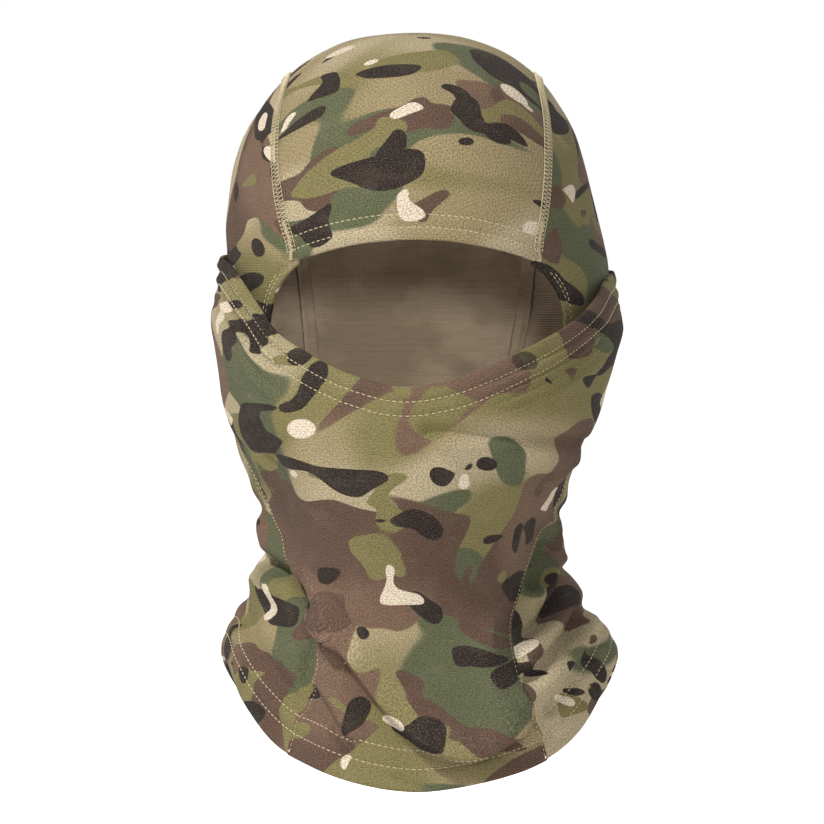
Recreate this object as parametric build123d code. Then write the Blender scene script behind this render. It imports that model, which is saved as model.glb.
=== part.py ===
from build123d import *
import math
import os

# A one-size stretch-knit hood with a pull-down face cover, opened out as it sits on a head.
# Frame: the origin is the middle of the head on the ear-to-ear line, X runs ear to ear (+X is the
# wearer's left), the face looks along -Y, and +Z is up. Millimetres.
#
# The cloth is cut as a centre panel that runs from the brow over the crown to the back hem, two side
# panels, and a front panel that starts on the nose and ends on the chest. The top of the front panel
# is the face cover: it turns about the ear-to-ear line and slides down inside the rest of it.

# --- Cloth, gaps and sewing -----------------------------------------------------------------------
CLOTH = 1.2                 # thickness of one layer of knit
LAYER_GAP = 0.1             # air between two layers that lie on each other
SEAM_GAP = 0.3              # gap between two panels that meet edge to edge
THREAD = 0.4                # how far a line of thread stands off the cloth
STITCH_WIDTH = 0.8          # width of one row of hem stitching
STITCH_ROWS = (0.43, 0.87)  # where a hem's two rows run, as shares of its depth
FLATLOCK_WIDTH = 4.5        # width of the flat seams over the crown
OVERLOCK_WIDTH = 2.0        # width of the seams of the front panel
BARTACK_HEIGHT = 8.0        # length of the dense stitching that ends a crown seam
BROW_HEM = 13.0             # depth of the hem over the eyes
CHEEK_HEM = 7.0             # depth of the hems beside the eyes
COVER_HEM = 14.0            # depth of the hem along the top of the face cover
NECK_HEM = 22.0             # depth of the hem round the neck

# --- Dome of the head -----------------------------------------------------------------------------
DOME_BASE_Z = 12.0          # height where the head is widest
DOME_HEIGHT = 105.0
HEAD_HALF_WIDTH = 85.0
HEAD_FRONT = 99.0           # from the ear-to-ear line to the brow
HEAD_BACK = 104.0
DOME_ROUNDNESS = 2.25       # 2 is an ellipsoid, more is squarer
DOME_STEPS = (0, 14, 27, 39, 50, 60, 69, 77, 84)   # degrees up the dome

# --- Hood from the dome down, as (height, half width, front, back) --------------------------------
DOME_BASE = [(DOME_BASE_Z, HEAD_HALF_WIDTH, HEAD_FRONT, HEAD_BACK)]
HEAD_STATIONS = [
    (-20, 84.0, 99.0, 103.0),
    (-50, 79.5, 97.0, 96.0),
    (-80, 69.0, 95.0, 86.0),
    (-100, 63.5, 92.0, 80.0),
]
NECK_STATIONS = [
    (-116, 68.0, 88.0, 78.0),
    (-132, 72.0, 84.5, 79.0),
    (-145, 77.0, 86.0, 82.0),
    (-157, 86.0, 90.0, 87.0),
    (-172, 90.0, 95.0, 92.0),
    (-200, 91.0, 100.0, 98.0),
    (-230, 91.5, 104.0, 102.0),
]

# --- Face cover, an ellipsoid of revolution about the ear-to-ear line. Its angles are degrees below
# the horizon, seen from the side. ------------------------------------------------------------------
COVER_HALF_WIDTH = 91.0
COVER_RADIUS = 134.0        # ear-to-ear line to the nose
COVER_EDGE_X = 87.5         # where the cover stops short of the ear
COVER_ANGLES = (-75, 36)
NEST_GAP = 2.0              # air between the cover and the front panel that it slides into
FRONT_EDGE_X = 91.5         # where the front panel stops short of the ear
FRONT_ANGLES = (34, 94)
CHIN_Z = -95.0              # where the front panel leaves the ellipsoid for the neck

# --- Edges and seams. The first number of a point is X, or Y for the cheek edge; the second is Z. ---
CROWN_SEAM_TOP = (60, 92)   # where a crown seam passes over the ear-to-ear line
CROWN_SEAM_FRONT = [CROWN_SEAM_TOP, (61, 62), (58.5, 38), (52.5, 14), (49, -20)]
CROWN_SEAM_BACK = [CROWN_SEAM_TOP, (58, 60), (51, -10), (45, -70), (42, -112), (45, -150), (50, -240)]
BROW_Z = 25.0               # height of the brow edge in the middle
BROW_HALF_WIDTH = 53.5
BROW_DROP = 10.0            # how much lower the brow edge is at the crown seams
CHEEK_EDGE = [(-78, 14.5), (-73, 9), (-66, 0), (-61.5, -14), (-58, -28), (-53, -44), (-41, -70), (-28, -95)]
COVER_TOP_HALF = [(34, -37), (66, -17), (78, 0), (87.5, 11)]
COVER_TOP = [(-x, z) for x, z in reversed(COVER_TOP_HALF)] + [(0, -42)] + COVER_TOP_HALF
FRONT_SEAM = [(62.5, -95), (57, -115), (48.5, -134), (46.5, -150), (51, -175), (60, -235)]
HEM_TOP_Z = -145.0          # the neck's edge is the lower half of an ellipse, seen from the front
HEM_HALF_WIDTH = 92.0
HEM_DROP = 80.0

FAR = 300.0                 # beyond the object in every direction
SIDES = {"left": 1, "right": -1}   # the wearer's sides, as signs of X


# --- Forms ----------------------------------------------------------------------------------------
def loft_through(sections):
    """A closed solid through oval sections, each given as (height, half width, front, back)."""
    faces = []
    for z, half_width, front, back in sections:
        plane = Plane(origin=(0, (back - front) / 2, z))
        faces.append(plane * Ellipse(half_width, (front + back) / 2))
    return loft(faces, ruled=True)


def halfway(before, start, end, after):
    """The point halfway from start to end on the smooth curve through four evenly counted points."""
    return tuple((9 * (p1 + p2) - p0 - p3) / 16 for p0, p1, p2, p3 in zip(before, start, end, after))


def smoothed(stations, offset):
    """Stations with one more between each two, all grown by offset."""
    padded = [stations[0]] + stations + [stations[-1]]
    points = []
    for i in range(1, len(padded) - 2):
        points += [padded[i], halfway(*padded[i - 1:i + 3])]
    points.append(stations[-1])
    return [(z, w + offset, front + offset, back + offset) for z, w, front, back in points]


def hood_form(offset):
    """The hood with its inside filled, grown all round by offset."""
    power = 2 / DOME_ROUNDNESS
    dome = []
    for step in reversed(DOME_STEPS):
        rise = math.sin(math.radians(step)) ** power
        spread = math.cos(math.radians(step)) ** power
        dome.append((
            DOME_BASE_Z + (DOME_HEIGHT + offset) * rise,
            (HEAD_HALF_WIDTH + offset) * spread,
            (HEAD_FRONT + offset) * spread,
            (HEAD_BACK + offset) * spread,
        ))
    return loft_through(dome[:-1] + smoothed(DOME_BASE + HEAD_STATIONS + NECK_STATIONS, offset))


def turned_axes(offset):
    """Half width and radius of the face cover's ellipsoid, grown by offset."""
    return COVER_HALF_WIDTH + offset, COVER_RADIUS + offset


def neck_front_form(offset):
    """The front panel below the chin with its inside filled. Its top is the ellipsoid's own oval."""
    half_width, radius = turned_axes(offset + CLOTH + NEST_GAP)
    share = math.sqrt(1 - (CHIN_Z / radius) ** 2)
    chin = (CHIN_Z, half_width * share, radius * share, radius * share)
    return loft_through([chin] + smoothed(NECK_STATIONS, offset))


def layer(form, outer, inner):
    """The space between a form grown by outer and the same form grown by inner."""
    return form(outer) - form(inner)


def turned_layer(outer, inner, edge_x, angles):
    """A layer of the face cover's ellipsoid, between two angles about the ear-to-ear line."""
    ring = Ellipse(*turned_axes(outer)) - Ellipse(*turned_axes(inner))
    strip = ring & Pos(0, -FAR / 2) * Rectangle(2 * edge_x, FAR)
    return revolve(Rot(X=angles[0]) * strip, Axis.X, angles[1] - angles[0])


def block(x, y, z):
    """A box from three (low, high) ranges."""
    ranges = (x, y, z)
    size = [high - low for low, high in ranges]
    centre = [(high + low) / 2 for low, high in ranges]
    return Pos(*centre) * Box(*size)


def on_side(sign):
    """All that is on one of the wearer's sides."""
    return Pos(sign * FAR / 2, 0, 0) * Box(FAR, 2 * FAR, 2 * FAR)


def prism_along_y(edges, near, far):
    """A prism between two depths whose outline is drawn in X and Z."""
    face = Plane.XZ * make_face(edges)
    return Pos(0, near, 0) * extrude(face, far - near, dir=(0, 1, 0))


def prism_along_x(edges):
    """A prism over the full width whose outline is drawn in Y and Z."""
    face = Plane.YZ * make_face(edges)
    return Pos(-FAR, 0, 0) * extrude(face, 2 * FAR, dir=(1, 0, 0))


def between_curve_and_mirror(points, widen):
    """Edges of the outline between a curve, moved out by widen, and its mirror image."""
    right = [(x + widen, z) for x, z in points]
    left = [(-x, z) for x, z in right]
    return [Spline(*right), Line(right[-1], left[-1]), Spline(*left), Line(left[0], right[0])]


# --- Spaces that the panels, hems and seams fill --------------------------------------------------
BACK_HALF = block((-FAR, FAR), (0, FAR), (-FAR, FAR))


def open_below_brow(lift):
    """The space in front, between the crown seams, below the brow edge when that is moved up by lift."""
    side = BROW_HALF_WIDTH
    top, corner = BROW_Z + lift, BROW_Z + lift - BROW_DROP
    brow = ThreePointArc((-side, corner), (0, top), (side, corner))
    rest = Polyline((side, corner), (side, -FAR), (-side, -FAR), (-side, corner))
    return prism_along_y([brow, rest], -FAR, 0)


def open_before_cheek(back):
    """The space in front of the cheek edges when they are moved back."""
    points = [(y + back, z) for y, z in CHEEK_EDGE]
    (y0, z0), (y1, z1) = points[0], points[-1]
    rest = Polyline((y1, z1), (-FAR, z1), (-FAR, z0), (y0, z0))
    return prism_along_x([Spline(*points), rest])


def centre_space(widen):
    """The space between the crown seams when they are moved out by widen."""
    top_x, top_z = CROWN_SEAM_TOP
    crown = block((-top_x - widen, top_x + widen), (-FAR, FAR), (top_z, FAR))
    front = prism_along_y(between_curve_and_mirror(CROWN_SEAM_FRONT, widen), -FAR, 0)
    back = prism_along_y(between_curve_and_mirror(CROWN_SEAM_BACK, widen), 0, FAR)
    return crown + front + back


def front_space(widen):
    """The space between the front panel's seams below the chin when they are moved out by widen."""
    return prism_along_y(between_curve_and_mirror(FRONT_SEAM, widen), -FAR, 0)


def cover_space(drop):
    """The space below the face cover's top edge when that is moved down."""
    points = [(x, z - drop) for x, z in COVER_TOP]
    (x0, z0), (x1, z1) = points[0], points[-1]
    rest = Polyline((x1, z1), (FAR, z1), (FAR, -FAR), (-FAR, -FAR), (-FAR, z0), (x0, z0))
    return prism_along_y([Spline(*points), rest], -FAR, 0)


def above_hem(lift):
    """The space above the neck's edge when that is moved up."""
    top = HEM_TOP_Z + lift
    below = extrude(Plane.XZ * Pos(0, top) * Ellipse(HEM_HALF_WIDTH, HEM_DROP), FAR, both=True)
    return below + block((-FAR, FAR), (-FAR, FAR), (top, FAR))


def side_space():
    """The space of both side panels: outside the crown seams, behind the cheek edges and front seams."""
    below_chin = block((-FAR, FAR), (-FAR, 0), (-FAR, CHIN_Z))
    inner = centre_space(SEAM_GAP / 2) - below_chin
    return above_hem(0) - inner - open_before_cheek(0) - front_space(SEAM_GAP)


def rows_along(space_at, depth):
    """The thin ribbons of a hem's two rows, where space_at(d) is what lies past a line at depth d."""
    ribbons = []
    for share in STITCH_ROWS:
        row = depth * share
        near, far = space_at(row), space_at(row + STITCH_WIDTH)
        ribbons.append(far - near if far.volume > near.volume else near - far)
    return ribbons


# --- Nodes ----------------------------------------------------------------------------------------
def lying_on(thread, ribbons):
    """Rows of stitching: the thread layer inside each ribbon, kept as separate solids."""
    return Compound(children=[solid for ribbon in ribbons for solid in (thread & ribbon).solids()])


def centre_nodes(cloth, turned_in, thread):
    whole, hem_inside = above_hem(0), above_hem(NECK_HEM)
    centre = (centre_space(-SEAM_GAP / 2) & whole) - open_below_brow(0)
    between_seams = centre_space(-FLATLOCK_WIDTH)
    brow_rows = rows_along(open_below_brow, BROW_HEM)
    return {
        "centre_panel": cloth & centre,
        "brow_hem": turned_in & centre & open_below_brow(BROW_HEM),
        "neck_hem_back": (turned_in & centre & BACK_HALF) - hem_inside,
        "brow_stitching": lying_on(thread, [row & between_seams for row in brow_rows]),
    }


def side_nodes(cloth, turned_in, thread):
    sides, hem_inside = side_space(), above_hem(NECK_HEM)
    clear_of_seam = sides - centre_space(FLATLOCK_WIDTH / 2)
    cheek_rows = [row & clear_of_seam for row in rows_along(open_before_cheek, CHEEK_HEM)]
    nodes = {}
    for name, sign in SIDES.items():
        panel = sides & on_side(sign)
        hem = turned_in & panel
        nodes[f"side_panel_{name}"] = cloth & panel
        nodes[f"cheek_hem_{name}"] = hem & open_before_cheek(CHEEK_HEM)
        nodes[f"neck_hem_{name}"] = hem - hem_inside
        nodes[f"cheek_stitching_{name}"] = lying_on(thread, [row & on_side(sign) for row in cheek_rows])
    return nodes


def crown_seam_nodes(thread):
    """The flat seams beside the centre panel, each ended at the brow by a block of dense stitching."""
    below_chin = block((-FAR, FAR), (-FAR, 0), (-FAR, CHIN_Z))
    band = centre_space(FLATLOCK_WIDTH / 2) - centre_space(-FLATLOCK_WIDTH / 2)
    band = (band & above_hem(0)) - open_below_brow(0) - open_before_cheek(0) - below_chin
    bartack = block((-FAR, FAR), (-FAR, 0), (-FAR, BROW_Z - BROW_DROP + BARTACK_HEIGHT))
    seam = thread & band
    nodes = {}
    for name, sign in SIDES.items():
        nodes[f"crown_seam_{name}"] = (seam - bartack) & on_side(sign)
        nodes[f"bartack_{name}"] = seam & bartack & on_side(sign)
    return nodes


def front_nodes():
    """The fixed part of the front panel, from under the nose to the chest."""
    nest = CLOTH + NEST_GAP
    below_chin = block((-FAR, FAR), (-FAR, FAR), (-FAR, CHIN_Z))
    neck = front_space(0) & above_hem(0)
    chin = turned_layer(nest, nest - CLOTH, FRONT_EDGE_X, FRONT_ANGLES) - below_chin
    turned_in = layer(neck_front_form, -CLOTH - LAYER_GAP, -2 * CLOTH - LAYER_GAP)
    thread = layer(neck_front_form, LAYER_GAP + THREAD, LAYER_GAP)
    seams = neck - front_space(-OVERLOCK_WIDTH) - block((-FAR, FAR), (-FAR, 0), (CHIN_Z - 1, 0))
    hem_rows = [row & front_space(-OVERLOCK_WIDTH) for row in rows_along(above_hem, NECK_HEM)]
    nodes = {
        "front_panel": chin + (layer(neck_front_form, 0, -CLOTH) & neck),
        "neck_hem_front": (turned_in & neck) - above_hem(NECK_HEM),
        "neck_stitching_front": lying_on(thread, hem_rows),
    }
    for name, sign in SIDES.items():
        nodes[f"front_seam_{name}"] = thread & seams & on_side(sign)
    return nodes


def neck_back_stitching(thread):
    """The hem rows round the sides and back of the neck, broken where the crown seams cross them."""
    seams = centre_space(FLATLOCK_WIDTH / 2) - centre_space(-FLATLOCK_WIDTH / 2)
    clear = block((-FAR, FAR), (-FAR, FAR), (-FAR, 0)) - front_space(SEAM_GAP) - (seams & BACK_HALF)
    return {"neck_stitching_back": lying_on(thread, [row & clear for row in rows_along(above_hem, NECK_HEM)])}


def cover_nodes():
    """The face cover, the one piece that moves, with its hem and stitching."""
    whole = cover_space(0)
    turned_in = turned_layer(-CLOTH - LAYER_GAP, -2 * CLOTH - LAYER_GAP, COVER_EDGE_X, COVER_ANGLES)
    thread = turned_layer(LAYER_GAP + THREAD, LAYER_GAP, COVER_EDGE_X, COVER_ANGLES)
    return {
        "face_cover": turned_layer(0, -CLOTH, COVER_EDGE_X, COVER_ANGLES) & whole,
        "cover_hem": (turned_in & whole) - cover_space(COVER_HEM),
        "cover_stitching": lying_on(thread, rows_along(cover_space, COVER_HEM)),
    }


def build():
    cloth = layer(hood_form, 0, -CLOTH)
    turned_in = layer(hood_form, -CLOTH - LAYER_GAP, -2 * CLOTH - LAYER_GAP)
    thread = layer(hood_form, LAYER_GAP + THREAD, LAYER_GAP)
    nodes = centre_nodes(cloth, turned_in, thread)
    nodes |= side_nodes(cloth, turned_in, thread)
    nodes |= crown_seam_nodes(thread)
    nodes |= neck_back_stitching(thread)
    nodes |= front_nodes()
    nodes |= cover_nodes()
    return nodes


if __name__ == "__main__":
    os.makedirs("parts", exist_ok=True)
    for name, part in build().items():
        export_step(part, f"parts/{name}.step")
        print(name, len(part.solids()), round(part.volume))
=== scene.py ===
import math

import bpy
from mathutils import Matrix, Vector
import numpy as np


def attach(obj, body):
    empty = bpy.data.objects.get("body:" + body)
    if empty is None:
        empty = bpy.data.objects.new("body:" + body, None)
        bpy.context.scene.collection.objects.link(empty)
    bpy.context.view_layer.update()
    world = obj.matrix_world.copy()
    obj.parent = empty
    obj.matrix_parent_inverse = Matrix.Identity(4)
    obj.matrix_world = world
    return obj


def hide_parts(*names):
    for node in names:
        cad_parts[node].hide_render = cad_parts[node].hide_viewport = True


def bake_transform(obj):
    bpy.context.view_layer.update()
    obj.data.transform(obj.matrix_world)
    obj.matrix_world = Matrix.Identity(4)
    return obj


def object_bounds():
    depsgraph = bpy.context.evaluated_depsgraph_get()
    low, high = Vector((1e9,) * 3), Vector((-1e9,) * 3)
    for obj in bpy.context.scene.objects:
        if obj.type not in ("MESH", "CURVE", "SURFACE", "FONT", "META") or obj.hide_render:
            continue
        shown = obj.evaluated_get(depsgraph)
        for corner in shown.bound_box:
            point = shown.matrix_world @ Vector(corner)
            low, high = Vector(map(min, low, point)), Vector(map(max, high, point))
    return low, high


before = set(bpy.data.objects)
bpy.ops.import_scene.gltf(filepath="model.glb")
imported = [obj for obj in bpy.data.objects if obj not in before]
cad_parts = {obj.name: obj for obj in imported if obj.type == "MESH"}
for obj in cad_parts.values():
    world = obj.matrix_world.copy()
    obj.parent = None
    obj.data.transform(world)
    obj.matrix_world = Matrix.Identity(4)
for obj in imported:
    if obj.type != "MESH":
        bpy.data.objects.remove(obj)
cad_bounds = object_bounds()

# A stretch-knit hood with a pull-down face cover, in soft printed camouflage.
# Shapes are worked out in millimetres in the CAD model's frame: X runs ear to ear, the face looks
# along -Y, +Z is up, and the origin is the middle of the head. Meshes are in metres.
#
# Each piece of cloth is a grid of points on the hood's surface. Folds and the dents along stitching
# push its points out or in, its edges roll over into hems, and then it gets its thickness. Threads
# are laid on the finished cloth.

MM = 0.001

# --- Cloth and sewing ---
CLOTH = 0.75  # thickness of the knit
ROLL = 1.0  # radius of the fold at a turned edge
ROLL_ROWS, ROLL_STEP = 6, 0.5  # rows of points round that fold, and the cloth each takes up
THREAD, THREAD_SIDES = 0.21, 5  # radius of the sewing thread, and sides of its tube
STITCH, STITCH_GAP = 2.0, 0.9
STITCH_SHAPE = (  # share of the stitch's length, height over the cloth, share of the thread's radius
    (0.0, -0.22, 0.7), (0.18, 0.06, 1.0), (0.5, 0.12, 1.0), (0.82, 0.06, 1.0), (1.0, -0.22, 0.7),
)
NECK_HEM, NECK_ROWS = 20.0, (9.5, 18.5)  # depth of a hem and where its two rows run
COVER_HEM, COVER_ROWS = 14.0, (6.0, 12.5)
BROW_HEM, BROW_ROWS = 12.5, (5.0, 11.0)
CHEEK_HEM, CHEEK_ROWS = 7.5, (4.0, 6.4)
CHEEK_HEM_Z = (-94, 11)  # heights of its ends
DENT, CHEEK_DENT, DENT_WIDTH = 0.4, 0.5, 1.1  # how far a row of stitches pulls the cloth in
SWELL, RIM = 0.35, 0.45  # how far a hem stands up between its rows, and along its edge
PUCKER, PUCKER_CELL, PUCKER_ROW, PUCKER_SEED = 0.35, 5.0, 7.3, 11

# --- Seams: a thread crosses each crown seam, between two rows of stitches, and a bartack ends it ---
LADDER = {"width": 5.2, "pitch": 1.0, "height": 0.6}
LADDER_ROW = {"length": 1.7, "gap": 0.4}
LADDER_ROW_OUT, LADDER_ROW_LIFT = 2.5, 0.35
CROSSING_LIFT = 0.15  # of the thread's middle, where it crosses a seam
BARTACK = {"width": 3.0, "pitch": 0.42, "height": 0.35}
LADDER_SPAN, ALLOWANCE_SPAN, BARTACK_SPAN = slice(6, -4), slice(12, -12), slice(1, 22)  # rows of the grid
ALLOWANCE_COLUMNS, ALLOWANCE_RIDGE = 9, 0.5
CROWN_ALLOWANCE = {"half_width": 4.0, "depth": 2.6}
FRONT_ALLOWANCE = {"half_width": 3.0, "depth": 3.4}
FRONT_ALLOWANCE_IN, FRONT_ALLOWANCE_Z = 0.3, (-130, -84)  # distance from the sheet's edge, heights
FRONT_STITCH = {"length": 1.3, "gap": 0.9, "radius": 0.14}
FRONT_STITCH_IN, FRONT_STITCH_Z = 1.6, (-math.inf, -64)

# --- Grids: columns of points, steps between rows, and the middle that normals point away from ---
HEM_STEP, HEM_MARGIN = 0.9, 1.0  # rows lie closer over a hem and a little past it
CENTRE_COLUMNS, CENTRE_STEP, CENTRE_INSIDE = 75, 1.9, (0, 0, -30)
SIDE_COLUMNS, SIDE_STEP, SIDE_INSIDE = 124, 1.45, (0, 0, -60)
SHEET_COLUMNS, SHEET_STEP, SHEET_HEM_STEP, SHEET_INSIDE = 271, 1.35, 0.85, (0, 10, -90)

# --- Slack of the worn cloth: height, size and seed of a broad and a fine unevenness ---
CENTRE_SLACK = ((0.8, 42.0, 3), (0.35, 16.0, 4))
SIDE_SLACK = ((0.9, 38.0, 5), (0.35, 15.0, 6))
SHEET_SLACK = ((0.9, 34.0, 8), (0.35, 13.0, 9))
CENTRE_SHIFT, SIDE_SHIFT, LEFT_SHIFT, SHEET_SHIFT = 300, 500, 40, 200  # keep the panels unlike
CENTRE_FREE, SIDE_FREE = 10.0, 9.0  # distance from a seam at which the cloth is free of it

# --- Small rolls of cloth at the nape, as (start, full) and (full, end) heights ---
CENTRE_NAPE, SIDE_NAPE = ((-170, -140), (-100, -70)), ((-165, -140), (-100, -70))
SIDE_NAPE_BEHIND = (70, 110)  # degrees round from the face
ROLL_PITCH = 2.9  # height in which a roll turns by a radian
CENTRE_ROLL, CENTRE_ROLL_REACH = 2.6, 55.0
CENTRE_ROLL_WAVE, CENTRE_ROLL_WAVE_LENGTH = 0.9, 17.0
SIDE_ROLL, SIDE_ROLL_PHASE, SIDE_ROLL_SLOPE = 2.4, 0.9, 1.3
CENTRE_CRUSH, CENTRE_FLATNESS = ((1.2, 30.0, 21),), 3.2  # the rolls' uneven part, wider than it is high
SIDE_CRUSH, SIDE_FLATNESS = ((1.6, 30.0, 22),), 3.0

# --- Hood: heights of the dome, and its plan below the dome, each as (height, value) ---
DOME_BASE_Z = 12.0
DOME_HEIGHT = 106.5
DOME_ROUNDNESS = 2.45
HALF_WIDTH = [
    (-230, 91.5), (-200, 91), (-175, 90), (-160, 88.5), (-153, 86), (-148, 81.5), (-143, 77.5),
    (-136, 74.5), (-128, 71), (-120, 69), (-112, 68), (-100, 66.8), (-92, 69), (-80, 73.5),
    (-65, 78.5), (-50, 81), (-20, 84), (12, 84.5),
]
FRONT = [
    (-230, 104), (-200, 98), (-172, 91), (-157, 86), (-145, 81), (-132, 79), (-116, 82),
    (-100, 88), (-80, 93), (-50, 97), (-20, 99), (12, 99),
]
BACK = [
    (-230, 102), (-200, 98), (-172, 92), (-157, 87), (-145, 82), (-132, 79), (-116, 77.5),
    (-100, 80), (-80, 86), (-50, 96), (-20, 103), (12, 104),
]

# --- Seams and edges, each as (height, distance from the middle) unless it says otherwise ---
CROWN_SEAM_TOP_Z = 98.0
CROWN_SEAM_FRONT = [(-20, 49), (14, 52.5), (38, 58.5), (62, 61.3), (80, 61), (98, 57.6)]
CROWN_SEAM_BACK = [
    (-240, 50), (-150, 45), (-112, 42), (-70, 45), (-10, 51), (60, 58), (80, 60), (98, 57.6),
]
BROW_EDGE = [(-54, 14), (-46, 17.5), (-25, 23), (0, 25), (25, 23), (46, 17.5), (54, 14)]  # x, z
CHEEK_EDGE = [(-95, 28), (-70, 41), (-44, 52), (-28, 57), (-14, 60.5), (0, 65.5), (9, 72.5), (14, 77)]
FRONT_SEAM = [
    (-215, 59), (-203, 57), (-182, 50), (-168, 45), (-152, 43.5), (-133, 48.5), (-112, 58), (-93, 66.5),
    (-80, 73), (-60, 80),
]
HEM_TOP_Z, HEM_HALF_WIDTH, HEM_DROP = -145.0, 92.0, 80.0
HEM_LOWER = [  # x, how much lower the neck's edge hangs there
    (-92, 0), (-84, 2.0), (-75, 1.5), (-64, 0), (-50, -2.5), (-30, -4), (0, -4), (28, -3.5), (42, -1.5),
    (52, 0.5), (62, 2.0), (71, 3.5), (80, 4), (87, 3), (92, 2),
]
WIDER_LEFT = [  # height, extra width
    (-225, 3), (-195, 4.5), (-172, 4.5), (-160, 4), (-147, 0), (-133, -0.5), (-118, -2.5), (-106, -3),
    (-92, 0.5), (-79, -1), (-65, -1), (-40, -0.5), (-25, 0.5), (-15, 3), (12, 4), (35, 0.5), (56, -1.5),
    (75, -2), (110, -0.5),
]
WIDER_RIGHT = [
    (-225, -2), (-175, -1.5), (-158, -1), (-140, 1), (-115, 1.0), (-98, 2.0), (-80, 3.5), (-50, 2.5),
    (-25, 0), (5, 0), (30, 2.5), (60, 2.5), (80, 1.5), (110, 0),
]
LEAST_HALF_WIDTH = 30.0  # for the widening near the top, where the plan shrinks to a point

LATTICE = 64  # points each way before the noise repeats
SPACING_SAMPLES = 4000
TINY = 1e-9  # keeps a length that is divided by from being zero


def curve(points):
    """A smooth function through (input, value) points, level past its ends."""
    x, y = np.array(sorted(points), float).T
    slope = np.gradient(y, x)

    def value(t):
        t = np.clip(t, x[0], x[-1])
        i = np.clip(np.searchsorted(x, t) - 1, 0, len(x) - 2)
        h = x[i + 1] - x[i]
        s = (t - x[i]) / h
        start = (2 * s**3 - 3 * s**2 + 1) * y[i] + (s**3 - 2 * s**2 + s) * h * slope[i]
        end = (3 * s**2 - 2 * s**3) * y[i + 1] + (s**3 - s**2) * h * slope[i + 1]
        return start + end

    return value


def smoothstep(low, high, t):
    s = np.clip((t - low) / (high - low), 0, 1)
    return s * s * (3 - 2 * s)


def between(start, end, t):
    """1 between two ranges, fading to 0 across each."""
    return smoothstep(*start, t) * (1 - smoothstep(*end, t))


def bell(t, width):
    return np.exp(-((t / width) ** 2))


def unit(vectors):
    return vectors / np.maximum(np.linalg.norm(vectors, axis=-1, keepdims=True), TINY)


def lattice_noise(u, v, cell, seed):
    """Smooth noise from -1 to 1 whose features are about cell wide."""
    rng = np.random.default_rng(seed)
    table = rng.uniform(-1, 1, (LATTICE, LATTICE))
    x, y = u / cell, v / cell
    i, j = np.floor(x).astype(int), np.floor(y).astype(int)
    fx, fy = smoothstep(0, 1, x - i), smoothstep(0, 1, y - j)

    def corner(a, b):
        return table[(i + a) % LATTICE, (j + b) % LATTICE]

    low = corner(0, 0) * (1 - fx) + corner(1, 0) * fx
    high = corner(0, 1) * (1 - fx) + corner(1, 1) * fx
    return low * (1 - fy) + high * fy


def slack_at(u, v, layers):
    return sum(height * lattice_noise(u, v, cell, seed) for height, cell, seed in layers)


half_width, front_depth, back_depth = curve(HALF_WIDTH), curve(FRONT), curve(BACK)
crown_front, crown_back = curve(CROWN_SEAM_FRONT), curve(CROWN_SEAM_BACK)
brow_height, cheek_depth, front_seam_x = curve(BROW_EDGE), curve(CHEEK_EDGE), curve(FRONT_SEAM)


def plan_at(z):
    """Half width, middle and half depth of the hood's oval plan at a height."""
    rise = np.clip((z - DOME_BASE_Z) / DOME_HEIGHT, 0, 1)
    share = (1 - rise**DOME_ROUNDNESS) ** (1 / DOME_ROUNDNESS)
    front, back = front_depth(z) * share, back_depth(z) * share
    return half_width(z) * share, (back - front) / 2, (front + back) / 2


def hood_point(angle, z):
    """A point of the hood. The angle runs from 0 at the face, by the left ear, to pi at the back."""
    w, middle, depth = plan_at(z)
    return np.stack([w * np.sin(angle), middle - depth * np.cos(angle), z + 0 * angle], axis=-1)


def angle_at_x(x, z, behind=False):
    """The angle where the hood is x out from the middle, on the wearer's left."""
    w = plan_at(z)[0]
    angle = np.arcsin(np.clip(x / np.maximum(w, 1e-6), -1, 1))
    return np.pi - angle if behind else angle


def angle_at_y(y, z):
    """The angle where the hood is y in front of the ears."""
    middle, depth = plan_at(z)[1:]
    return np.arccos(np.clip((y + middle) / depth, -1, 1))


def hem_height(x):
    level = HEM_TOP_Z - HEM_DROP * np.sqrt(np.clip(1 - (x / HEM_HALF_WIDTH) ** 2, 0, 1))
    return level - curve(HEM_LOWER)(x)


def widened(points):
    """The cloth is wider on one side than the other, most of all at its outermost points."""
    x, z = points[..., 0], points[..., 2]
    share = np.clip(np.abs(x) / np.maximum(plan_at(z)[0], LEAST_HALF_WIDTH), 0, 1) ** 2
    extra = np.where(x > 0, curve(WIDER_LEFT)(z), curve(WIDER_RIGHT)(z))
    moved = points.copy()
    moved[..., 0] += np.sign(x) * extra * share
    return moved


def rows_between(length, step, fine_step, fine_start, fine_end=0.0):
    """Shares from 0 to 1 along a length, closer together near its ends."""
    samples = np.linspace(0, length, SPACING_SAMPLES)
    near = (samples < fine_start) | (samples > length - fine_end)
    density = np.where(near, 1 / fine_step, 1 / step)
    total = np.concatenate([[0], np.cumsum((density[1:] + density[:-1]) / 2 * np.diff(samples))])
    count = max(3, int(round(total[-1])))
    return np.interp(np.linspace(0, total[-1], count + 1), total, samples) / length


# --- Grids of cloth ---
def normals_of(points, inside):
    """Unit normals of a grid, pointing away from the point inside."""
    across = np.gradient(points, axis=1)
    along = np.gradient(points, axis=0)
    normal = unit(np.cross(across, along))
    outward = np.sign(np.sum(normal * (points - inside), axis=-1).mean())
    return normal * (outward or 1.0)


def distance_along(points, axis, from_end=False):
    """Distance of every point from the start of its row or column, measured on the cloth."""
    p = np.flip(points, axis) if from_end else points
    step = np.linalg.norm(np.diff(p, axis=axis), axis=-1)
    zero = np.zeros_like(np.take(step, [0], axis=axis))
    far = np.concatenate([zero, np.cumsum(step, axis=axis)], axis=axis)
    return np.flip(far, axis) if from_end else far


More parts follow.
